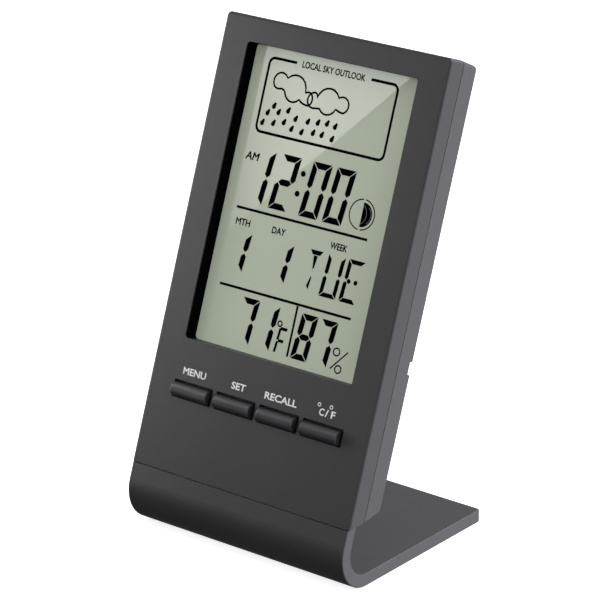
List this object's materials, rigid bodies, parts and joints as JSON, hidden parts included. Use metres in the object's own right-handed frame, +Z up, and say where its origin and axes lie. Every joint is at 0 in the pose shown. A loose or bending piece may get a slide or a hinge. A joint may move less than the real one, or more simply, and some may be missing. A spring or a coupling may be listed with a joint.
{
  "type": "home weather station",
  "caption": "Slim desk weather station: a leaning black case with a tall segment display and a row of bar buttons, on a bent plate stand.",
  "frame": {"origin": "on the table, under the middle of the stand", "axes": "+Z up, -Y out of the display side, +X to the right seen from the front"},
  "size_m": [0.07, 0.0588, 0.1281],
  "materials": {
    "front_shell": "fine textured, moulded",
    "rear_shell": "fine textured, moulded",
    "stand": "fine textured, moulded",
    "door": "fine textured, moulded",
    "button": "satin, moulded",
    "switch_body": "moulded",
    "switch_plunger": "moulded",
    "board": "solder mask over glass-fibre laminate",
    "resin": "cast resin",
    "can": "drawn can",
    "chip": "ceramic",
    "sensor": "moulded",
    "bead": "dipped resin",
    "display_film": "clear film over a grey-green field",
    "display_glass": "float glass",
    "display_mirror": "diffuse reflector film",
    "spacer": "closed-cell foam",
    "strip": "layered conductive silicone",
    "cell_can": "nickel plated",
    "cell_sleeve": "printed film",
    "contact": "nickel plated",
    "spring_wire": "nickel plated",
    "buzzer_brass": "rolled",
    "buzzer_ceramic": "silvered ceramic",
    "screw": "black zinc"
  },
  "bodies": {
    "stand": {"stand_foot": "stand"},
    "case": {"front_bezel": "front_shell", "rear_cover": "rear_shell", "switch_bodies": "switch_body", "main_circuit_board": "board", "controller_blob": "resin", "quartz_crystal": "can", "chip_components": "chip", "humidity_sensor": "sensor", "temperature_thermistor": "bead", "lcd_polariser": "display_film", "lcd_front_glass": "display_glass", "lcd_rear_glass": "display_glass", "lcd_reflector": "display_mirror", "lcd_spacer_frame": "spacer", "zebra_connector": "strip", "battery_cell": "cell_can", "battery_sleeve": "cell_sleeve", "battery_spring": "spring_wire", "negative_contact": "contact", "positive_contact": "contact", "buzzer_disc": "buzzer_brass", "buzzer_ceramic": "buzzer_ceramic", "buzzer_springs": "spring_wire", "case_screws": "screw", "board_screws": "screw"},
    "door": {"battery_door": "door"},
    "mode": {"mode_button": "button", "mode_plunger": "switch_plunger"},
    "adjust": {"adjust_button": "button", "adjust_plunger": "switch_plunger"},
    "memory": {"memory_button": "button", "memory_plunger": "switch_plunger"},
    "unit": {"unit_button": "button", "unit_plunger": "switch_plunger"}
  },
  "joints": [
    {"name": "case_lift", "type": "slide", "parent": "stand", "child": "case", "axis": [0, 0.3387, 0.9409], "range_m": [0, 0.005]},
    {"name": "door_hinge", "type": "hinge", "parent": "case", "child": "door", "pos_m": [0, -0.01246, 0.02118], "axis": [-1, 0, 0], "range_deg": [0, 80]},
    {"name": "mode_press", "type": "slide", "parent": "case", "child": "mode", "axis": [0, 0.9409, -0.3387], "range_m": [0, 0.0006], "stiffness_N_per_m": 1500, "springref_m": -0.0003},
    {"name": "adjust_press", "type": "slide", "parent": "case", "child": "adjust", "axis": [0, 0.9409, -0.3387], "range_m": [0, 0.0006], "stiffness_N_per_m": 1500, "springref_m": -0.0003},
    {"name": "memory_press", "type": "slide", "parent": "case", "child": "memory", "axis": [0, 0.9409, -0.3387], "range_m": [0, 0.0006], "stiffness_N_per_m": 1500, "springref_m": -0.0003},
    {"name": "unit_press", "type": "slide", "parent": "case", "child": "unit", "axis": [0, 0.9409, -0.3387], "range_m": [0, 0.0006], "stiffness_N_per_m": 1500, "springref_m": -0.0003}
  ]
}
